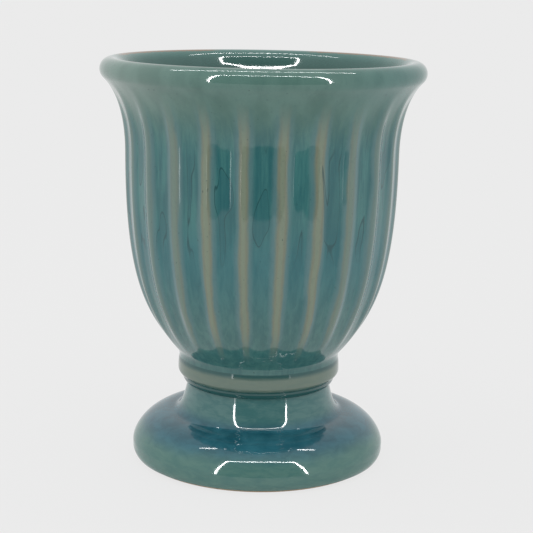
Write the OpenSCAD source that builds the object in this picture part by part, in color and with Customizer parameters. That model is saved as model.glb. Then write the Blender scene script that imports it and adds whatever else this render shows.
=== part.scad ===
// Fluted pedestal vase: a glazed clay cup with a flared lip, luted onto a collar and a hollow foot.
// Millimetres, +Z up, origin at the middle of the face that the vase stands on.
// The outlines are those of the finished, glazed vase. The clay lies under its glaze coats.

/* [Bowl] */
// Height of the bowl, from its underside to the crest of the lip
bowl_h = 148; // [133:0.1:163]
// Widest diameter of the lip
lip_d = 158.6; // [150:0.1:168]
// Radius of the roll that the lip turns over outside
lip_roll_r = 5.6; // [5:0.1:6.5]
// Angle of the surface under the lip, from upright
lip_under_angle = 45; // [38:1:52]
// Radius of the roll that the lip turns over inside
lip_inner_r = 6; // [5.4:0.1:6.6]
// Diameter over the ridges at the upright part of the wall
waist_d = 134.3; // [129:0.1:139]
// Depth of that upright part below the crest
waist_drop = 45.4; // [40:0.1:50]
// Radius of the cove in which the bowl's side spreads from its seat on the collar
cove_r = 6.9; // [5.9:0.1:7.9]
// Slope of the side above the cove, above level
belly_angle = 48; // [43:1:53]
// Length over which the side leaves the cove along that slope
belly_start_l = 25.6; // [21:0.1:31]
// Length over which the side comes upright below the waist
belly_end_l = 58.4; // [48:0.1:62]
// Length over which the side stays upright above the waist
flare_start_l = 20; // [16:0.1:24]
// Length over which the side meets the slope under the lip
flare_end_l = 7.8; // [6:0.1:10]

/* [Flutes] */
// Number of flutes round the bowl
flute_count = 24; // [20:1:28]
// Depth of a flute between its ridges
flute_depth = 1.5; // [1.1:0.1:1.9]
// Height above the seat at which the flutes start
flute_foot_h = 4.4; // [3.8:0.1:5.8]
// Length over which they deepen upwards
flute_foot_l = 26; // [20:0.5:32]
// Depth below the crest at which the flutes end
flute_head_drop = 8; // [6:0.1:10]
// Length over which they fade out upwards
flute_head_l = 24; // [16:0.1:30]

/* [Bowl wall] */
// Thickness of the clay behind the flutes
bowl_wall = 4.9; // [4.3:0.1:5.5]
// Thickness of the bowl's floor
floor_t = 8; // [6.5:0.1:9.5]
// Height of the rounded corner between wall and floor
floor_corner_h = 12; // [9:0.1:14]
// Width of that corner
floor_corner_w = 18; // [14:0.1:20]
// Length over which the inner wall stays upright above the waist
inner_flare_l = 32; // [28:0.1:34]
// Lean of the inner wall just below the lip's roll, from upright
inner_lip_angle = 17; // [14:1:20]
// Length over which the inner wall meets that lean
inner_lip_l = 9; // [7:0.1:10]

/* [Collar] */
// Height of the collar
collar_h = 13.1; // [12:0.1:14.2]
// Widest diameter of its bead
bead_d = 81.2; // [78.5:0.1:83.5]
// Height of the bead above the collar's bottom edge
bead_rise = 3.4; // [2.8:0.1:4]
// Height at which the bead is widest, above the collar's bottom edge
bead_mid_h = 6.7; // [6:0.1:7.4]
// Amount by which the bead draws in down to the crease where it turns under
crease_in = 2.1; // [1.7:0.1:2.5]
// Amount by which the underside draws in from the crease to the collar's bottom edge
under_in = 1.9; // [1.4:0.1:2.4]
// Width of the bottom edge, from the stem that the collar fits over
collar_base_w = 3.6; // [3:0.1:4.4]
// Amount by which the bead draws in up to the bowl's seat
bead_top_in = 0.5; // [0.3:0.05:0.7]

/* [Foot] */
// Height of the foot below the collar
foot_h = 38.9; // [36:0.1:42]
// Widest diameter of the foot
foot_d = 126.8; // [118:0.1:134]
// Height of the widest part of the foot
foot_side_h = 8; // [7.4:0.1:9]
// Radius of the foot's lower edge
foot_edge_r = 6; // [5:0.1:7]
// Amount by which the neck is set in under the collar's bottom edge
neck_in = 0.95; // [0.7:0.05:1.3]
// Lean of the neck's side there, from upright
neck_lean = 11; // [7:1:15]
// Length over which the neck keeps that lean
neck_start_l = 6; // [5:0.1:7]
// Amount by which the neck spreads on its way down to the dome
neck_spread = 7.75; // [6.6:0.05:8.8]
// Length over which the neck turns onto the dome
neck_end_l = 4.8; // [3.8:0.1:5.8]
// Height of the dome there
dome_h = 23.3; // [22:0.1:24.6]
// Slope of the dome there, below level
dome_angle = 4; // [1:1:7]
// Length over which the dome leaves the neck along that slope
dome_start_l = 14.7; // [12.6:0.1:16.8]
// Length over which the dome turns down to the side
dome_end_l = 3.5; // [2.8:0.1:4.2]
// Thickness of the foot's wall under the dome and round the stem
foot_wall = 5.2; // [4:0.1:6]
// Thickness of the foot's wall at its widest part
foot_side_wall = 8.5; // [7:0.1:10]
// Thickness of the deck that closes the stem
deck_t = 8; // [6:0.1:10]
// Width of the bare ring that the vase stands on
stand_ring_w = 7; // [5:0.1:9]
// Height of that ring inside the hollow
stand_ring_h = 2.5; // [2:0.1:4]

/* [Slip and glaze] */
// Thickness of the slip in each joint
slip_t = 0.6; // [0.4:0.05:0.8]
// Thickness of the glaze on plain surfaces
glaze_t = 0.5; // [0.4:0.05:0.6]
// Extra thickness where the glaze pools in a flute
glaze_pool_t = 0.4; // [0.2:0.05:0.5]
// Height of the bare clay band between the glaze and the floor
bare_band_h = 2; // [1.5:0.1:2.5]

/* [Hidden] */
$fn = 120;
cut = 1;

// Levels and radii that the pieces share
seat_z = foot_h + collar_h;
deck_z = seat_z - slip_t;
crest_z = seat_z + bowl_h;
waist_z = crest_z - waist_drop;
waist_r = waist_d / 2;
lip_z = crest_z - lip_roll_r;
crest_r = lip_d / 2 - lip_roll_r;
floor_z = seat_z + floor_t;
bead_r = bead_d / 2;
seat_r = bead_r - bead_top_in;
crease_r = bead_r - crease_in;
collar_base_r = crease_r - under_in;
stem_r = collar_base_r - collar_base_w;
neck_r = collar_base_r - neck_in;
neck_base_r = neck_r + neck_spread;
foot_r = foot_d / 2;

// Steps along each stretch of an outline, and the columns across one flute as shares of its pitch
cove_steps = 3;
belly_steps = 10;
flare_steps = 5;
lip_under_steps = 2;
lip_over_steps = 3;
smooth_steps = 16;
column_shares = [0, 0.18, 0.36, 0.64, 0.82];

// Curves
function along(a, b, c, d, t) =
    a * pow(1 - t, 3) + 3 * b * t * pow(1 - t, 2) + 3 * c * t * t * (1 - t) + d * pow(t, 3);
function curve(a, b, c, d, steps) = [for (i = [0:steps]) along(a, b, c, d, i / steps)];
function arc(centre, radius, from, to, steps) =
    [for (i = [0:steps]) centre + radius * heading(from + (to - from) * i / steps)];
function heading(angle) = [cos(angle), sin(angle)];
function after(points) = [for (i = [1:len(points) - 1]) points[i]];
function before(points) = [for (i = [0:len(points) - 2]) points[i]];
function reversed(points) = [for (i = [len(points) - 1:-1:0]) points[i]];
function side_of(points, i) =
    let (step = points[i + 1] - points[i - 1])
    [step[1], -step[0]] / norm(step);
function sides(points, first, last) =
    [for (i = [0:len(points) - 1]) i == 0 ? first : i == len(points) - 1 ? last : side_of(points, i)];
function moved(points, normals, distance) =
    [for (i = [0:len(points) - 1]) points[i] + normals[i] * distance];

// Outside of the bowl over its ridges, from the seat up and over the lip to the crest
lip_start = [crest_r, lip_z] + lip_roll_r * heading(-lip_under_angle);
cove_centre = [seat_r + cove_r, seat_z];
cove = arc(cove_centre, cove_r, 180, 90 + belly_angle, cove_steps);
belly_start = cove_centre + cove_r * heading(90 + belly_angle);
belly = curve(belly_start,
              belly_start + belly_start_l * heading(belly_angle),
              [waist_r, waist_z - belly_end_l],
              [waist_r, waist_z],
              belly_steps);
flare = curve([waist_r, waist_z],
              [waist_r, waist_z + flare_start_l],
              lip_start - flare_end_l * heading(90 - lip_under_angle),
              lip_start,
              flare_steps);
lip_under = arc([crest_r, lip_z], lip_roll_r, -lip_under_angle, 0, lip_under_steps);
lip_over = arc([crest_r, lip_z], lip_roll_r, 0, 90, lip_over_steps);
bowl_rows = concat(cove, after(belly), after(flare), after(lip_under), after(lip_over));
bowl_sides = sides(bowl_rows, [1, 0], [0, 1]);

// Inside of the bowl, from the rounded floor up the wall to the crest
wall_inset = bowl_wall + flute_depth + glaze_t;
wall_rows = moved(belly, [for (i = [0:belly_steps]) bowl_sides[cove_steps + i]], -wall_inset);
raised_rows = [for (p = wall_rows) if (p[1] > floor_z + floor_corner_h) p];
floor_r = raised_rows[0][0] - floor_corner_w;
wall_lean = raised_rows[1] - raised_rows[0];
floor_turn = curve([floor_r, floor_z],
                   [floor_r + floor_corner_w / 2, floor_z],
                   raised_rows[0] - wall_lean / norm(wall_lean) * floor_corner_h / 2,
                   raised_rows[0],
                   smooth_steps);
inner_waist = [waist_r - wall_inset, waist_z];
inner_roll = [crest_r, crest_z - lip_inner_r];
inner_lip = inner_roll + lip_inner_r * heading(180 - inner_lip_angle);
inner_flare = curve(inner_waist,
                    inner_waist + [0, inner_flare_l],
                    inner_lip - inner_lip_l * heading(90 - inner_lip_angle),
                    inner_lip,
                    smooth_steps);
inner_edge = arc(inner_roll, lip_inner_r, 180 - inner_lip_angle, 90, flare_steps);
lining_rows = concat(floor_turn, after(raised_rows), after(inner_flare), after(inner_edge));
lining_sides = sides(lining_rows, [0, -1], [0, -1]);
lining_back = before(moved(lining_rows, lining_sides, glaze_t));
inner_edge_r = lining_back[len(lining_back) - 1][0];

// Outside of the collar, from its bottom edge up over the bead to the seat
bead_mid_z = foot_h + bead_mid_h;
crease = [crease_r, foot_h + bead_rise];
bead_turn_h = bead_mid_h - bead_rise;
bead_low = curve(crease,
                 crease + [crease_in / 2, bead_turn_h / 4],
                 [bead_r, bead_mid_z - bead_turn_h / 2],
                 [bead_r, bead_mid_z],
                 smooth_steps);
bead_side_h = seat_z - bead_mid_z;
bead_high = curve([bead_r, bead_mid_z],
                  [bead_r, bead_mid_z + bead_side_h * 3 / 4],
                  [seat_r, seat_z - bead_side_h / 6],
                  [seat_r, seat_z],
                  smooth_steps);
collar_rows = concat([[collar_base_r, foot_h]], bead_low, after(bead_high));
collar_sides = sides(collar_rows, [0, -1], [1, 0]);

// Outside of the foot, from the neck down over the dome to the side
edge_centre = [foot_r - foot_edge_r, foot_edge_r - glaze_t];
dome_start = [neck_base_r, dome_h];
neck = curve([neck_r, foot_h],
             [neck_r, foot_h] + neck_start_l * heading(neck_lean - 90),
             dome_start - neck_end_l * heading(-dome_angle),
             dome_start,
             smooth_steps);
dome = curve(dome_start,
             dome_start + dome_start_l * heading(-dome_angle),
             [foot_r, foot_side_h + dome_end_l],
             [foot_r, foot_side_h],
             smooth_steps);
foot_rows = reversed(concat(neck, after(dome), [[foot_r, edge_centre[1]]]));
foot_sides = sides(foot_rows, [1, 0], [1, 0]);
glaze_end_angle = asin((edge_centre[1] - bare_band_h) / foot_edge_r);
glazed_edge = arc(edge_centre, foot_edge_r, -glaze_end_angle, 0, smooth_steps);
clay_edge_r = foot_edge_r - glaze_t;

// How deep the flutes are at a height, and across one flute
function eased(share) = let (s = min(1, max(0, share))) s * s * (3 - 2 * s);
function flute_run(z) =
    eased((z - seat_z - flute_foot_h) / flute_foot_l) *
    eased((crest_z - flute_head_drop - z) / flute_head_l);
function hollow(column_share) = 1 - pow(cos(180 * column_share), 4);

// A surface of the fluted bowl, as columns of points. The inset is how far it lies under the glazed
// surface, and the pool how much further it lies in the flutes.
flute_pitch = 360 / flute_count;
first_ridge = -90 - flute_pitch / 2;
function fluted_point(i, column_share, angle, inset, pool) =
    let (run = flute_run(bowl_rows[i][1]) * hollow(column_share),
         p = bowl_rows[i] - bowl_sides[i] * (inset + (flute_depth + pool) * run))
    [p[0] * cos(angle), p[0] * sin(angle), p[1]];
function fluted_column(column_share, angle, inset, pool) =
    [for (i = [0:len(bowl_rows) - 1]) fluted_point(i, column_share, angle, inset, pool)];
function columns() =
    [for (k = [0:flute_count - 1], s = column_shares) [s, first_ridge + (k + s) * flute_pitch]];

// A quad as two triangles, cut along one diagonal or the other
function halves(q, other) =
    other ? [[q[0], q[1], q[3]], [q[1], q[2], q[3]]] : [[q[0], q[1], q[2]], [q[0], q[2], q[3]]];

// A solid from columns of points: each column runs up the outside, and back down inside if it is a loop.
// The diagonals mirror across a flute, and those inside match the ones of the clay that lies there.
module shell_of(columns_of_points, is_loop) {
    rows = len(columns_of_points[0]);
    count = len(columns_of_points);
    steps = is_loop ? rows : rows - 1;
    sheets = [for (j = [0:count - 1], i = [0:steps - 1])
        let (up = (i + 1) % rows,
             on = (j + 1) % count,
             near = j % len(column_shares) < len(column_shares) / 2,
             inside = is_loop && i >= rows / 2)
        each halves([j * rows + i, j * rows + up, on * rows + up, on * rows + i], near != inside)];
    caps = is_loop ? [] : [[for (j = [0:count - 1]) j * rows],
                           [for (j = [count - 1:-1:0]) j * rows + rows - 1]];
    polyhedron([for (c = columns_of_points) each c], concat(sheets, caps));
}

module turned(points) {
    rotate_extrude() polygon(points);
}

module coat(points, normals) {
    turned(concat(points, reversed(moved(points, normals, -glaze_t))));
}

module bowl() {
    color("tan")
    difference() {
        shell_of([for (c = columns()) fluted_column(c[0], c[1], glaze_t, glaze_pool_t)], false);
        turned(concat([[0, floor_z - glaze_t]],
                      lining_back,
                      [[inner_edge_r, crest_z + cut], [0, crest_z + cut]]));
    }
}

module collar_ring() {
    clay = moved(collar_rows, collar_sides, -glaze_t);
    hole_r = stem_r + slip_t;
    color("burlywood")
    turned(concat([[hole_r, foot_h + slip_t], [clay[0][0], foot_h + slip_t]],
                  [for (p = clay) if (p[1] > foot_h + slip_t && p[1] < deck_z) p],
                  [[seat_r - glaze_t, deck_z], [hole_r, deck_z]]));
}

module pedestal_foot() {
    clay = moved(foot_rows, foot_sides, -glaze_t);
    clay_bottom = arc(edge_centre, clay_edge_r, -90, 0, smooth_steps);
    hollow_r = stem_r - foot_wall;
    ring_r = edge_centre[0] - stand_ring_w;
    side_r = foot_r - foot_side_wall;
    dome_up = reversed(dome);
    dome_sides = sides(dome_up, [1, 0], heading(90 - dome_angle));
    under_dome = [for (p = moved(dome_up, dome_sides, -foot_wall - glaze_t))
        if (p[0] > hollow_r && p[0] < side_r && p[1] > foot_side_h) p];
    color("tan")
    difference() {
        turned(concat([[0, 0]],
                      clay_bottom,
                      after(clay),
                      [[stem_r, foot_h], [stem_r, deck_z], [0, deck_z]]));
        turned(concat([[0, -cut], [ring_r, -cut], [ring_r, stand_ring_h], [side_r, foot_side_h]],
                      under_dome,
                      [[hollow_r, dome_h - foot_wall], [hollow_r, deck_z - deck_t], [0, deck_z - deck_t]]));
    }
}

module upper_luting_slip() {
    color("wheat")
    translate([0, 0, deck_z])
    cylinder(h = slip_t, r = seat_r - glaze_t);
}

module lower_luting_slip() {
    color("wheat")
    turned([[stem_r, foot_h], [collar_base_r - glaze_t, foot_h],
            [collar_base_r - glaze_t, foot_h + slip_t], [stem_r + slip_t, foot_h + slip_t],
            [stem_r + slip_t, deck_z], [stem_r, deck_z]]);
}

module bowl_glaze() {
    color("cadetblue")
    shell_of([for (c = columns())
                 concat(fluted_column(c[0], c[1], 0, 0),
                        reversed(fluted_column(c[0], c[1], glaze_t, glaze_pool_t)))],
             true);
}

module lining_glaze() {
    color("darkslategray")
    turned(concat([[0, floor_z]],
                  lining_rows,
                  [[crest_r, crest_z - glaze_t], [inner_edge_r, crest_z - glaze_t]],
                  reversed(lining_back),
                  [[0, floor_z - glaze_t]]));
}

module collar_glaze() {
    color("teal")
    coat(collar_rows, collar_sides);
}

module foot_glaze() {
    color("steelblue")
    coat(concat(glazed_edge, after(foot_rows)),
         sides(concat(glazed_edge, after(foot_rows)), heading(-glaze_end_angle), [1, 0]));
}

bowl();
collar_ring();
pedestal_foot();
upper_luting_slip();
lower_luting_slip();
bowl_glaze();
lining_glaze();
collar_glaze();
foot_glaze();
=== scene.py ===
import math

import bmesh
import bpy
from mathutils import Matrix, Vector


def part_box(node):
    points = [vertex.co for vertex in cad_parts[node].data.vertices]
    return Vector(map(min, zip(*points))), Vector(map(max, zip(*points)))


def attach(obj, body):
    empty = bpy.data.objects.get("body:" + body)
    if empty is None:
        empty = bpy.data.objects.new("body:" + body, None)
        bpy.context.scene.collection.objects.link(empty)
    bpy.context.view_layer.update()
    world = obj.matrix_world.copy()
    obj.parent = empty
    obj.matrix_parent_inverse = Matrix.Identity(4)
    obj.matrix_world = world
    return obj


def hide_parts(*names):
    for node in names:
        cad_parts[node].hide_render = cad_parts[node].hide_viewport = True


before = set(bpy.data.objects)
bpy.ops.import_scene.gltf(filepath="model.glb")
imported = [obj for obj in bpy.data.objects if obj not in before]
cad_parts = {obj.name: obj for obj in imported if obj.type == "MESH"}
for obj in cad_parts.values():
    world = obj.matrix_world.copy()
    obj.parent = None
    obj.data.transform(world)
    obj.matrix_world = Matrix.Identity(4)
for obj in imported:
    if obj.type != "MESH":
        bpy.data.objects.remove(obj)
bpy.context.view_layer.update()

MM = 0.001
glaze_t = 0.5 * MM

# Levels and radii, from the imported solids
seat_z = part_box("bowl_glaze")[0].z
crest_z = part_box("bowl_glaze")[1].z
lip_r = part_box("bowl_glaze")[1].x
floor_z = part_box("lining_glaze")[0].z + glaze_t
collar_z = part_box("collar_glaze")[0].z
bead_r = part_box("collar_glaze")[1].x
glaze_end_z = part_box("foot_glaze")[0].z
foot_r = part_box("foot_glaze")[1].x

# Bowl: sizes of its outline, and how far the handles of its curves reach
lip_roll_r = 5.6 * MM
lip_under_angle = 45
waist_drop = 45.4 * MM
waist_in = 12.15 * MM
cove_r = 6.9 * MM
belly_angle = 48
belly_start = 25.6 * MM
belly_end = 58.4 * MM
flare_start = 20 * MM
flare_end = 7.8 * MM

# Flutes
flute_count = 24
flute_depth = 1.5 * MM
flute_foot_h = 4.4 * MM
flute_foot_l = 26 * MM
flute_head_drop = 8 * MM
flute_head_l = 24 * MM
hollow_power = 4

# Lining: the inside wall and the rounded floor
wall_inset = 6.9 * MM
corner_h = 12 * MM
corner_w = 18 * MM
inner_lip_r = 6 * MM
inner_lip_angle = 17
inner_lip_l = 9 * MM
inner_flare = 32 * MM

# Collar
bead_rise = 3.4 * MM
bead_mid_h = 6.7 * MM
crease_in = 2.1 * MM
under_in = 1.9 * MM
bead_top_in = 0.5 * MM

# Foot
neck_in = 0.95 * MM
neck_lean = 11
neck_start = 6 * MM
neck_spread = 7.75 * MM
neck_end = 4.8 * MM
dome_h = 23.3 * MM
dome_angle = 4
dome_start = 14.7 * MM
dome_end = 3.5 * MM
foot_side_h = 8 * MM
foot_edge_r = 6 * MM

# How finely the outlines are divided
cove_steps = 8
belly_steps = 44
flare_steps = 16
lip_steps = 18
floor_rings = 5
corner_steps = 14
inner_lip_steps = 12
under_steps = 8
bead_low_steps = 12
bead_high_steps = 16
foot_edge_steps = 12
dome_steps = 28
neck_steps = 22

# How finely the rounds are divided, and how their faces meet
columns_per_flute = 16
round_columns = 192
merge_gap = 0.002 * MM
smooth_angle = 50

crest_r = lip_r - lip_roll_r
waist_r = lip_r - waist_in
waist_z = crest_z - waist_drop
seat_r = bead_r - bead_top_in
crease_r = bead_r - crease_in
collar_base_r = crease_r - under_in
neck_r = collar_base_r - neck_in
flute_pitch = 360 / flute_count
first_ridge = -90 - flute_pitch / 2


# Outlines, as points of radius and height
def heading(angle):
    """The way at that angle, in degrees from outwards to up."""
    return Vector((math.cos(math.radians(angle)), math.sin(math.radians(angle))))


def up(height):
    return Vector((0, height))


def curve(start, start_handle, end_handle, end, steps):
    """A cubic curve from start to end, with its two handles between them."""
    a, b, c, d = (Vector(point) for point in (start, start_handle, end_handle, end))
    points = []
    for i in range(steps + 1):
        t = i / steps
        left = 1 - t
        points.append(a * left**3 + 3 * b * t * left**2 + 3 * c * t * t * left + d * t**3)
    return points


def arc(centre, radius, start, end, steps):
    """A round stretch from one angle to another."""
    return [Vector(centre) + radius * heading(start + (end - start) * i / steps) for i in range(steps + 1)]


def sides(rows):
    """The direction square to the outline at each of its points, to the right of the way it runs."""
    steps = [rows[min(i + 1, len(rows) - 1)] - rows[max(i - 1, 0)] for i in range(len(rows))]
    return [Vector((step.y, -step.x)).normalized() for step in steps]


def joined(*stretches):
    """Stretches one after the other, with the point that two of them share kept once."""
    rows = list(stretches[0])
    for stretch in stretches[1:]:
        rows += stretch[1:]
    return rows


def cove_line():
    return arc((seat_r + cove_r, seat_z), cove_r, 180, 90 + belly_angle, cove_steps)


def belly_line():
    start = cove_line()[-1]
    waist = Vector((waist_r, waist_z))
    return curve(start, start + belly_start * heading(belly_angle), waist - up(belly_end), waist, belly_steps)


def bowl_outline():
    waist = Vector((waist_r, waist_z))
    roll_centre = Vector((crest_r, crest_z - lip_roll_r))
    lip = arc(roll_centre, lip_roll_r, -lip_under_angle, 90, lip_steps)
    lip_handle = lip[0] - flare_end * heading(90 - lip_under_angle)
    flare = curve(waist, waist + up(flare_start), lip_handle, lip[0], flare_steps)
    return joined(cove_line(), belly_line(), flare, lip)


def lining_outline():
    belly = belly_line()
    inner_belly = [point - wall_inset * side for point, side in zip(belly, sides(belly))]
    wall = [point for point in inner_belly if point.y > floor_z + corner_h]
    wall_lean = (wall[1] - wall[0]).normalized()
    corner_start = Vector((wall[0].x - corner_w, floor_z))
    corner = curve(
        corner_start,
        corner_start + Vector((corner_w / 2, 0)),
        wall[0] - wall_lean * corner_h / 2,
        wall[0],
        corner_steps,
    )
    roll_centre = Vector((crest_r, crest_z - inner_lip_r))
    lip = arc(roll_centre, inner_lip_r, 180 - inner_lip_angle, 90, inner_lip_steps)
    lip_handle = lip[0] - inner_lip_l * heading(90 - inner_lip_angle)
    flare = curve(wall[-1], wall[-1] + up(inner_flare), lip_handle, lip[0], flare_steps)
    floor = [Vector((corner_start.x * ring / floor_rings, floor_z)) for ring in range(floor_rings + 1)]
    return joined(floor, corner, wall, flare, lip)


def collar_outline():
    base = Vector((collar_base_r, collar_z))
    crease = Vector((crease_r, collar_z + bead_rise))
    middle = Vector((bead_r, collar_z + bead_mid_h))
    seat = Vector((seat_r, seat_z))
    turn_h = middle.y - crease.y
    side_h = seat.y - middle.y
    under = curve(base, base + Vector((under_in / 2, 0)), crease - up(bead_rise / 3), crease, under_steps)
    crease_handle = crease + Vector((crease_in / 2, turn_h / 4))
    low = curve(crease, crease_handle, middle - up(turn_h / 2), middle, bead_low_steps)
    high = curve(middle, middle + up(side_h * 3 / 4), seat - up(side_h / 6), seat, bead_high_steps)
    return joined(under, low, high)


def foot_outline():
    edge_centre = Vector((foot_r - foot_edge_r, foot_edge_r - glaze_t))
    end_angle = math.degrees(math.asin((edge_centre.y - glaze_end_z) / foot_edge_r))
    edge = arc(edge_centre, foot_edge_r, -end_angle, 0, foot_edge_steps)
    dome_foot = Vector((foot_r, foot_side_h))
    dome_top = Vector((neck_r + neck_spread, dome_h))
    dome_way = heading(-dome_angle)
    dome = curve(dome_foot, dome_foot + up(dome_end), dome_top + dome_start * dome_way, dome_top, dome_steps)
    neck_top = Vector((neck_r, collar_z))
    neck_handle = neck_top + neck_start * heading(neck_lean - 90)
    neck = curve(dome_top, dome_top - neck_end * dome_way, neck_handle, neck_top, neck_steps)
    return joined(edge, [edge[-1], dome[0]], dome, neck)


# Modelling steps
def select_points(piece, wanted):
    mesh = bmesh.from_edit_mesh(piece.data)
    mesh.verts.ensure_lookup_table()
    for point in mesh.verts:
        point.select_set(point.index in wanted)
    mesh.select_flush_mode()
    bmesh.update_edit_mesh(piece.data)


def drawn_line(name, rows):
    """An outline drawn point by point with extrude, in the plane of +X and +Z. It stays in edit mode."""
    bpy.ops.object.select_all(action="DESELECT")
    bpy.ops.mesh.primitive_plane_add(size=MM)
    piece = bpy.context.object
    piece.name = name
    piece.data.name = name
    bpy.ops.object.mode_set(mode="EDIT")
    bpy.ops.mesh.select_mode(type="VERT")
    bpy.ops.mesh.merge(type="CENTER")
    bpy.ops.transform.translate(value=(rows[0].x, 0, rows[0].y))
    for here, there in zip(rows, rows[1:]):
        step = there - here
        bpy.ops.mesh.extrude_region_move(TRANSFORM_OT_translate={"value": (step.x, 0, step.y)})
    return piece


def spun(angle, steps, copies=False):
    """Spins all of the piece round the axis, or repeats it there in copies."""
    bpy.ops.mesh.select_all(action="SELECT")
    bpy.ops.mesh.spin(steps=steps, angle=math.radians(angle), center=(0, 0, 0), axis=(0, 0, 1), dupli=copies)


def closed_round():
    """Merges the points that meet, turns all faces outwards and leaves edit mode."""
    bpy.ops.mesh.select_all(action="SELECT")
    bpy.ops.mesh.remove_doubles(threshold=merge_gap)
    bpy.ops.mesh.normals_make_consistent(inside=False)
    bpy.ops.object.mode_set(mode="OBJECT")


def coated(piece):
    """Gives a glaze coat its thickness, into the clay."""
    coat = piece.modifiers.new("coat", "SOLIDIFY")
    coat.thickness = glaze_t
    coat.offset = -1
    bpy.ops.object.modifier_apply(modifier=coat.name)
    bpy.ops.object.shade_smooth_by_angle(angle=math.radians(smooth_angle))
    return piece


def turned(name, rows):
    piece = drawn_line(name, rows)
    spun(360, round_columns)
    closed_round()
    return coated(piece)


def eased(share):
    share = min(1, max(0, share))
    return share * share * (3 - 2 * share)


def flute_run(z):
    """How much of its depth a flute has at that height."""
    above_foot = (z - seat_z - flute_foot_h) / flute_foot_l
    below_head = (crest_z - flute_head_drop - z) / flute_head_l
    return eased(above_foot) * eased(below_head)


def hollow(share):
    """How much of its depth a flute has at that share of its width."""
    return 1 - math.cos(math.pi * share) ** hollow_power


def pressed_flute(piece, rows):
    """Presses one flute into a wedge of the bowl, row by row and column by column."""
    mesh = bmesh.from_edit_mesh(piece.data)
    mesh.verts.ensure_lookup_table()
    places = {}
    for point in mesh.verts:
        azimuth = math.degrees(math.atan2(point.co.y, point.co.x))
        column = round((azimuth - first_ridge) / flute_pitch * columns_per_flute)
        place = Vector((math.hypot(point.co.x, point.co.y), point.co.z))
        row = min(range(len(rows)), key=lambda i: (rows[i] - place).length_squared)
        places.setdefault((row, min(column, columns_per_flute - column)), set()).add(point.index)
    row_sides = sides(rows)
    for (row, column), found in sorted(places.items()):
        depth = flute_depth * flute_run(rows[row].y) * hollow(column / columns_per_flute)
        if depth > 0:
            shift = -row_sides[row] * depth
            scale = (rows[row].x + shift.x) / rows[row].x
            select_points(piece, found)
            bpy.ops.transform.resize(value=(scale, scale, 1), center_override=(0, 0, 0))
            bpy.ops.transform.translate(value=(0, 0, shift.y))


def fluted_bowl():
    rows = bowl_outline()
    piece = drawn_line("fluted_bowl_glaze", rows)
    bpy.ops.mesh.select_all(action="SELECT")
    bpy.ops.transform.rotate(value=math.radians(first_ridge), orient_axis="Z", center_override=(0, 0, 0))
    spun(flute_pitch, columns_per_flute)
    pressed_flute(piece, rows)
    spun(360, flute_count, copies=True)
    closed_round()
    return coated(piece)


# Nodes of the materials and of the world
def tone(red, green, blue):
    """A colour as it looks on a screen, from 0 to 255, made linear."""
    shares = [c / 255 for c in (red, green, blue)]
    return tuple(c / 12.92 if c <= 0.04045 else ((c + 0.055) / 1.055) ** 2.4 for c in shares) + (1,)


def scaled(colour, share):
    return tuple(share * c for c in colour[:3]) + (1,)


class Socket:
    """A socket of a node. Sums on it add the Math nodes that work them out."""

    def __init__(self, nodes, socket):
        self.nodes = nodes
        self.socket = socket

    def __add__(self, other):
        return self.nodes.maths("ADD", self, other)

    def __sub__(self, other):
        return self.nodes.maths("SUBTRACT", self, other)

    def __rsub__(self, other):
        return self.nodes.maths("SUBTRACT", other, self)

    def __mul__(self, other):
        return self.nodes.maths("MULTIPLY", self, other)

    __radd__ = __add__
    __rmul__ = __mul__


class Nodes:
    """The nodes of one material, or of the world."""

    def __init__(self, tree):
        self.tree = tree

    def node(self, kind, settings=None, sockets=None, output=0):
        """Adds a node, its settings first, and gives one of its outputs, or the node itself."""
        made = self.tree.nodes.new(kind)
        for setting, value in (settings or {}).items():
            setattr(made, setting, value)
        for socket, value in (sockets or {}).items():
            self.feed(made.inputs[socket], value)
        return made if output is None else Socket(self, made.outputs[output])

    def feed(self, target, value):
        """Links a socket to another, or sets its value."""
        if isinstance(value, Socket):
            self.tree.links.new(value.socket, target)
        else:
            target.default_value = value

    def maths(self, operation, *values):
        return self.node("ShaderNodeMath", {"operation": operation}, dict(enumerate(values)))

    def rise(self, value, start, end):
        """0 at start, 1 at end, and smooth between them."""
        settings = {"interpolation_type": "SMOOTHSTEP"}
        return self.node("ShaderNodeMapRange", settings, {"Value": value, "From Min": start, "From Max": end})

    def spread(self, field, reach=0.15):
        """A mottle with more contrast: what lies that far either side of its middle fills 0 to 1."""
        return self.rise(field, 0.5 - reach, 0.5 + reach)

    def blend(self, low, high, share):
        return self.node("ShaderNodeMix", {"data_type": "RGBA"}, {0: share, 6: low, 7: high}, output=2)

    def shown(self):
        """1 on rays from the camera, in gloss and through glass, and 0 on those that gather light."""
        ray = self.node("ShaderNodeLightPath", output=None)
        seen = Socket(self, ray.outputs["Is Camera Ray"])
        for other in ("Is Glossy Ray", "Is Transmission Ray"):
            seen = self.maths("MAXIMUM", seen, Socket(self, ray.outputs[other]))
        return seen


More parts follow.
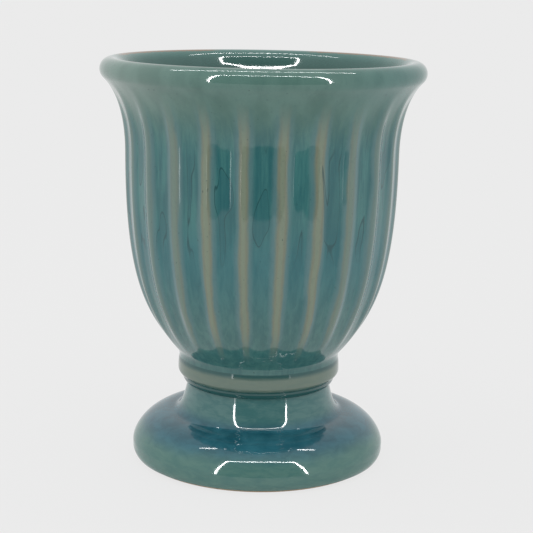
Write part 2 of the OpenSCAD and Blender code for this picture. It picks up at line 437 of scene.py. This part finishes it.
class Finish(Nodes):
    """A material for one of the vase's surfaces, or for a part of the studio."""

    def __init__(self, name):
        self.material = bpy.data.materials.new(name)
        self.material.use_nodes = True
        super().__init__(self.material.node_tree)
        self.shader = self.tree.nodes["Principled BSDF"]
        self.place = self.node("ShaderNodeTexCoord", output="Object")
        split = self.node("ShaderNodeSeparateXYZ", sockets={"Vector": self.place}, output=None)
        self.x, self.y, self.z = (Socket(self, split.outputs[axis]) for axis in "XYZ")

    def set(self, **sockets):
        for socket, value in sockets.items():
            self.feed(self.shader.inputs[socket.replace("_", " ")], value)

    def mottle(self, across, along, detail=3, roughness=0.5, distortion=0.0):
        """Noise from 0 to 1 whose patches have that size across and along the height, in metres."""
        scale = (1 / across, 1 / across, 1 / along)
        stretched = self.node("ShaderNodeMapping", sockets={"Vector": self.place, "Scale": scale})
        grain = {"Scale": 1, "Detail": detail, "Roughness": roughness, "Distortion": distortion}
        return self.node("ShaderNodeTexNoise", sockets={"Vector": stretched, **grain})

    def azimuth(self):
        return self.maths("ARCTAN2", self.y, self.x)

    def bumped(self, height, distance):
        return self.node("ShaderNodeBump", sockets={"Strength": 1.0, "Distance": distance, "Height": height})


# Glazes
glaze_ior = 1.56
clear_roughness = 0.03
haze_roughness = 0.06


def glossy(finish, colour, ripple, across, along):
    """The fired surface of a glaze: glassy, with a faint ripple and patches that are a little less clear."""
    haze = finish.mottle(across=9 * MM, along=14 * MM)
    finish.set(
        Base_Color=colour,
        Roughness=clear_roughness + haze_roughness * haze,
        IOR=glaze_ior,
        Normal=finish.bumped(finish.mottle(across, along, detail=2), ripple),
    )
    return finish.material


def flute_ground(finish, streaks, patches):
    """Grey teal low on the bowl, then blue teal, deep teal below the flare, and sage on the flare."""
    low_z = seat_z + 18 * MM
    middle_z = seat_z + 60 * MM
    deep_z = seat_z + 84 * MM
    flare_z = crest_z - 42 * MM
    sage_z = crest_z - 16 * MM
    ragged_l = 12 * MM
    mix = finish.spread(0.6 * streaks + 0.4 * patches)
    low = finish.blend(tone(52, 98, 98), tone(70, 114, 110), mix)
    middle = finish.blend(tone(32, 96, 102), tone(50, 108, 112), mix)
    deep = finish.blend(tone(34, 92, 96), tone(60, 116, 114), mix)
    sage = finish.blend(tone(69, 106, 97), tone(85, 120, 111), finish.spread(patches))
    ground = finish.blend(low, middle, finish.rise(finish.z, low_z, middle_z))
    ground = finish.blend(ground, deep, finish.rise(finish.z, middle_z, deep_z))
    return finish.blend(ground, sage, finish.rise(finish.z + ragged_l * (streaks - 0.5), flare_z, sage_z))


def ridge_crest(finish, patches):
    """1 on the ridges and 0 in the flutes, along lines that wander a little."""
    wander = 0.6
    wave = finish.maths("SINE", flute_count / 2 * finish.azimuth() + wander * (patches - 0.5))
    return wave * wave


def ridge_stripes(finish, ground, crest, streaks, patches):
    """The glaze ran thin over the ridges: tan there, most of all in front and behind, with a pale halo, and a
    painted sheen, a paler line along each crest.
    """
    halo_share = 0.8
    halo_ragged = 0.3
    stripe_ragged = 0.2
    side_share = 0.35
    crest_sheen_share = 0.6
    above_foot = finish.rise(finish.z, seat_z + 5 * MM, seat_z + 29 * MM)
    below_flare = finish.rise(finish.z, crest_z - 12 * MM, crest_z - 36 * MM)
    run = above_foot * below_flare
    facing = finish.rise(finish.maths("COSINE", 2 * finish.azimuth()), start=0.1, end=-0.75)
    halo = finish.rise(crest + halo_ragged * (patches - 0.5), start=0.3, end=0.8) * run
    thin = finish.rise(crest + stripe_ragged * (streaks - 0.5), start=0.72, end=0.98) * run
    thin = thin * (side_share + (1 - side_share) * facing)
    # Painted sheen: a paler, greener line along the crest of each ridge.
    painted_crest_sheen = finish.rise(crest, start=0.93, end=1.0)
    tan = finish.blend(tone(108, 115, 99), tone(121, 125, 104), patches)
    tan = finish.blend(tan, tone(118, 134, 116), crest_sheen_share * painted_crest_sheen)
    return finish.blend(finish.blend(ground, tone(84, 118, 120), halo_share * halo), tan, thin)


def still_pools(finish, colour, crest):
    """Pools where the run glaze stood still in the flutes, each with a thin dark line round it."""
    pool_share = 0.45
    line_share = 0.8
    level = 0.5
    pool_edge = 0.03
    line_reach = 0.016
    line_core = 0.002
    ridge_pull = 0.3
    above_foot = finish.rise(finish.z, seat_z + 52 * MM, seat_z + 70 * MM)
    below_flare = finish.rise(finish.z, crest_z - 32 * MM, crest_z - 44 * MM)
    zone = above_foot * below_flare
    field = finish.mottle(across=9 * MM, along=40 * MM, detail=1, distortion=0.4) - ridge_pull * crest
    pool = finish.rise(field, level, level + pool_edge)
    line = finish.rise(finish.maths("ABSOLUTE", field - level), line_reach, line_core)
    colour = finish.blend(colour, tone(30, 88, 94), pool_share * pool * zone)
    return finish.blend(colour, tone(18, 66, 70), line_share * line * zone)


def painted_lip_light_and_shade(finish, colour):
    """Painted light on the lip's left, where its glaze is made paler, and painted shade on its right, where
    it is made bluer and a little darker.
    """
    side_light_share = 0.35
    lip = finish.rise(finish.z, crest_z - 30 * MM, crest_z - 12 * MM)
    left = finish.rise(finish.x, -20 * MM, -72 * MM)
    right = finish.rise(finish.x, 20 * MM, 72 * MM)
    colour = finish.blend(colour, tone(140, 156, 148), side_light_share * lip * left)
    return finish.blend(colour, tone(66, 116, 118), side_light_share * lip * right)


def flute_glaze():
    finish = Finish("teal_flute_glaze")
    drop_share = 0.1
    pit_share = 0.6
    streaks = finish.mottle(across=2.5 * MM, along=34 * MM, detail=5, roughness=0.6, distortion=0.5)
    patches = finish.mottle(across=12 * MM, along=30 * MM, detail=4)
    drops = finish.rise(finish.mottle(across=1.3 * MM, along=2.2 * MM, detail=2), start=0.56, end=0.7)
    pits = finish.rise(finish.mottle(across=1.1 * MM, along=1.1 * MM, detail=0), start=0.83, end=0.87)
    crest = ridge_crest(finish, patches)
    colour = ridge_stripes(finish, flute_ground(finish, streaks, patches), crest, streaks, patches)
    colour = finish.blend(colour, tone(28, 78, 84), drop_share * drops)
    # The lip gets painted light on its left side and painted shade on its right side.
    colour = painted_lip_light_and_shade(finish, still_pools(finish, colour, crest))
    colour = finish.blend(colour, tone(30, 62, 60), pit_share * pits)
    return glossy(finish, colour, ripple=0.05 * MM, across=6 * MM, along=22 * MM)


def worn_crest(finish):
    """Where the glaze of the lip's crest is worn to the clay: the back half, to the left and right."""
    beside = finish.rise(finish.maths("ABSOLUTE", finish.x), 22 * MM, 30 * MM)
    behind = finish.rise(finish.y, 5 * MM, 20 * MM)
    ragged_z = finish.z + 0.8 * MM * finish.mottle(across=3 * MM, along=3 * MM)
    return beside * behind * finish.rise(ragged_z, crest_z - 0.4 * MM, crest_z + 0.1 * MM)


def lining_glaze():
    finish = Finish("dark_lining_glaze")
    patches = finish.mottle(across=12 * MM, along=26 * MM)
    deep = finish.blend(tone(24, 70, 64), tone(42, 88, 82), patches)
    lip = finish.blend(tone(66, 108, 102), tone(82, 120, 114), patches)
    colour = finish.blend(deep, lip, finish.rise(finish.z, crest_z - 13 * MM, crest_z - 2 * MM))
    colour = finish.blend(colour, tone(122, 98, 74), worn_crest(finish))
    return glossy(finish, colour, ripple=0.05 * MM, across=8 * MM, along=12 * MM)


def collar_glaze():
    finish = Finish("olive_collar_glaze")
    ragged_l = 1.2 * MM
    streaks = finish.mottle(across=8 * MM, along=2 * MM, detail=4)
    teal = finish.blend(tone(36, 80, 80), tone(48, 90, 88), streaks)
    band = finish.blend(tone(92, 114, 106), tone(110, 124, 110), streaks)
    ragged_z = finish.z + ragged_l * (streaks - 0.5)
    above_crease = finish.rise(ragged_z, collar_z + 3.2 * MM, collar_z + 5.4 * MM)
    below_seat = finish.rise(ragged_z, seat_z - 0.8 * MM, seat_z - 3.2 * MM)
    colour = finish.blend(teal, band, above_crease * below_seat)
    return glossy(finish, colour, ripple=0.04 * MM, across=8 * MM, along=5 * MM)


def foot_glaze():
    finish = Finish("blue_foot_glaze")
    ragged_l = 4 * MM
    streaks = finish.mottle(across=9 * MM, along=3 * MM, detail=5, roughness=0.6, distortion=0.6)
    patches = finish.mottle(across=15 * MM, along=12 * MM)
    side = finish.blend(tone(66, 110, 105), tone(81, 120, 112), finish.spread(streaks, reach=0.2))
    pool = finish.blend(tone(24, 80, 94), tone(46, 104, 118), finish.spread(0.5 * streaks + 0.5 * patches))
    neck = finish.blend(tone(56, 106, 106), tone(76, 118, 116), finish.spread(streaks))
    on_dome = finish.rise(finish.z + ragged_l * (patches - 0.5), 12 * MM, 20 * MM)
    on_neck = finish.rise(finish.z, 23.5 * MM, 29 * MM)
    colour = finish.blend(finish.blend(side, pool, on_dome), neck, on_neck)
    return glossy(finish, colour, ripple=0.05 * MM, across=9 * MM, along=7 * MM)


# Clay and slip
def matt(finish, colour, grain, least_roughness, grain_roughness, grain_h):
    """A fired surface without glaze: dull and grainy."""
    finish.set(
        Base_Color=colour,
        Roughness=least_roughness + grain_roughness * grain,
        Normal=finish.bumped(grain, grain_h),
    )
    return finish.material


def fired_clay():
    finish = Finish("fired_tan_clay")
    speckle = finish.mottle(across=0.7 * MM, along=0.7 * MM, detail=4)
    patches = finish.mottle(across=9 * MM, along=6 * MM)
    clay = finish.blend(tone(168, 140, 112), tone(196, 170, 140), patches)
    clay = finish.blend(clay, tone(128, 98, 74), finish.rise(speckle, start=0.62, end=0.75))
    return matt(finish, clay, speckle, least_roughness=0.72, grain_roughness=0.2, grain_h=0.12 * MM)


def luting_slip():
    finish = Finish("fired_luting_slip")
    grain = finish.mottle(across=0.5 * MM, along=0.5 * MM)
    slip = finish.blend(tone(190, 168, 140), tone(206, 186, 158), grain)
    return matt(finish, slip, grain, least_roughness=0.8, grain_roughness=0.15, grain_h=0.06 * MM)


def dressed(piece, material):
    piece.data.materials.clear()
    piece.data.materials.append(material)


# The glazes, each in the place of its solid
for piece, node, material in (
    (fluted_bowl(), "bowl_glaze", flute_glaze()),
    (turned("bowl_lining_glaze", lining_outline()), "lining_glaze", lining_glaze()),
    (turned("collar_bead_glaze", collar_outline()), "collar_glaze", collar_glaze()),
    (turned("foot_dome_glaze", foot_outline()), "foot_glaze", foot_glaze()),
):
    dressed(piece, material)
    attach(piece, "root")
    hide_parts(node)

# The clay pieces and the slip keep their own solids
clay = fired_clay()
slip = luting_slip()
for node in ("bowl", "collar_ring", "pedestal_foot"):
    dressed(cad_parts[node], clay)
for node in ("upper_luting_slip", "lower_luting_slip"):
    dressed(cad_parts[node], slip)


# Studio: a pale floor and the white walls of a light tent that is open in front
white = (1, 1, 1, 1)
black = (0, 0, 0, 1)
backdrop = (0.83, 0.83, 0.83, 1)
floor_size = 60
glow_share = 0.92

# The tent's opening, and the strips of lamps on its two sides, along its top and overhead
table_edge_y = -530 * MM
strip_y = table_edge_y + MM
opening_left = -390 * MM
opening_right = 500 * MM
opening_h = 845 * MM
side_strip_w = 26 * MM
side_strip_foot_h = 95 * MM
lamp_row_w = 30 * MM
lamp_pitch = 24 * MM
lamp_gap_share = 0.15
overhead_y = 45 * MM
overhead_half_l = 500 * MM
inner_left = opening_left + side_strip_w
inner_right = opening_right - side_strip_w


def studio_floor():
    """The pale floor. Most of its own paleness is glow, so that the vase's shadow on it stays faint."""
    bpy.ops.mesh.primitive_plane_add(size=floor_size)
    floor = bpy.context.object
    floor.name = "studio_floor"
    finish = Finish("pale_studio_floor")
    shown = finish.shown()
    finish.set(
        Base_Color=finish.blend(backdrop, scaled(backdrop, 1 - glow_share), shown),
        Roughness=0.9,
        Specular_IOR_Level=0.0,
        Emission_Color=finish.blend(black, scaled(backdrop, glow_share), shown),
        Emission_Strength=1,
    )
    dressed(floor, finish.material)
    return floor


def glow(name, strength):
    """A finish that only gives light."""
    finish = Finish(name)
    finish.set(Base_Color=black, Specular_IOR_Level=0.0, Emission_Color=white, Emission_Strength=strength)
    return finish


def lamp_glow(name, strength):
    """A strip of small lamps, one after the other along X."""
    finish = glow(name, strength)
    wave = finish.maths("SINE", 2 * math.pi / lamp_pitch * finish.x)
    lamps = finish.blend(scaled(white, lamp_gap_share), white, finish.rise(wave, start=-0.3, end=0.6))
    finish.set(Emission_Color=lamps)
    return finish


def panel(name, low, high, finish):
    """A flat panel between two corners that only the gloss of the glaze shows."""
    low, high = Vector(low), Vector(high)
    bpy.ops.object.select_all(action="DESELECT")
    bpy.ops.mesh.primitive_plane_add(size=1)
    piece = bpy.context.object
    piece.name = name
    bpy.ops.object.mode_set(mode="EDIT")
    if low.y == high.y:
        bpy.ops.transform.resize(value=(high.x - low.x, high.z - low.z, 1))
        bpy.ops.transform.rotate(value=math.pi / 2, orient_axis="X", center_override=(0, 0, 0))
    else:
        bpy.ops.transform.resize(value=(high.x - low.x, high.y - low.y, 1))
    bpy.ops.transform.translate(value=(low + high) / 2)
    bpy.ops.object.mode_set(mode="OBJECT")
    dressed(piece, finish.material)
    for ray in ("visible_camera", "visible_diffuse", "visible_shadow", "visible_transmission"):
        setattr(piece, ray, False)
    return piece


def upright_panel(name, left, right, foot, head, finish, y=strip_y):
    return panel(name, (left, y, foot), (right, y, head), finish)


def overhead_panel(name, finish):
    low = (-overhead_half_l, overhead_y, opening_h)
    high = (overhead_half_l, overhead_y + lamp_row_w, opening_h)
    return panel(name, low, high, finish)


dim_room = glow("dim_room", strength=0.24)
left_glow = glow("left_edge_glow", strength=5)
right_glow = glow("right_edge_glow", strength=2.5)
lit_strip = glow("lit_strip", strength=60)
lamp_row = lamp_glow("lamp_row", strength=100)
overhead_row = lamp_glow("overhead_lamp_row", strength=45)
top_strip_foot_h = opening_h - lamp_row_w
for piece in (
    studio_floor(),
    upright_panel("tent_opening", opening_left, opening_right, 0, opening_h, dim_room, y=table_edge_y),
    upright_panel("left_edge", opening_left, inner_left, 0, side_strip_foot_h, left_glow),
    upright_panel("right_edge", inner_right, opening_right, 0, side_strip_foot_h, right_glow),
    upright_panel("left_strip", opening_left, inner_left, side_strip_foot_h, opening_h, lit_strip),
    upright_panel("right_strip", inner_right, opening_right, side_strip_foot_h, opening_h, lit_strip),
    upright_panel("top_strip", opening_left, opening_right, top_strip_foot_h, opening_h, lamp_row),
    overhead_panel("overhead_strip", overhead_row),
):
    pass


def tent_walls():
    """White walls that light the vase evenly, and that the camera and the gloss see as the pale backdrop."""
    world = bpy.data.worlds.new("tent_walls")
    world.use_nodes = True
    nodes = Nodes(world.node_tree)
    background = world.node_tree.nodes["Background"]
    nodes.feed(background.inputs["Color"], nodes.blend(white, backdrop, nodes.shown()))
    return world


bpy.context.scene.world = tent_walls()

soft_lamp_place = (-400 * MM, -100 * MM, 850 * MM)
bpy.ops.object.light_add(type="AREA", location=soft_lamp_place)
soft_lamp = bpy.context.object
soft_lamp.name = "soft_top_lamp"
soft_lamp.data.size = 700 * MM
soft_lamp.data.energy = 1
soft_lamp.visible_glossy = False
soft_lamp.visible_camera = False

# Camera, where the fit to the photograph's outline puts it. Its turn and roll are in radians
camera_place = (-5.65 * MM, -676.2 * MM, 241.3 * MM)
camera_turn = -0.013
camera_tilt = math.radians(12.06)
camera_roll = 0.0183
camera = bpy.data.objects.new("camera", bpy.data.cameras.new("camera"))
camera.data.lens = 93.39
camera.data.sensor_width = 36
camera.data.clip_start = 10 * MM
camera.matrix_world = (
    Matrix.Translation(camera_place)
    @ Matrix.Rotation(camera_turn, 4, "Z")
    @ Matrix.Rotation(math.pi / 2 - camera_tilt, 4, "X")
    @ Matrix.Rotation(camera_roll, 4, "Z")
)
bpy.context.scene.collection.objects.link(camera)
bpy.context.scene.camera = camera
bpy.context.scene.view_settings.view_transform = "Standard"
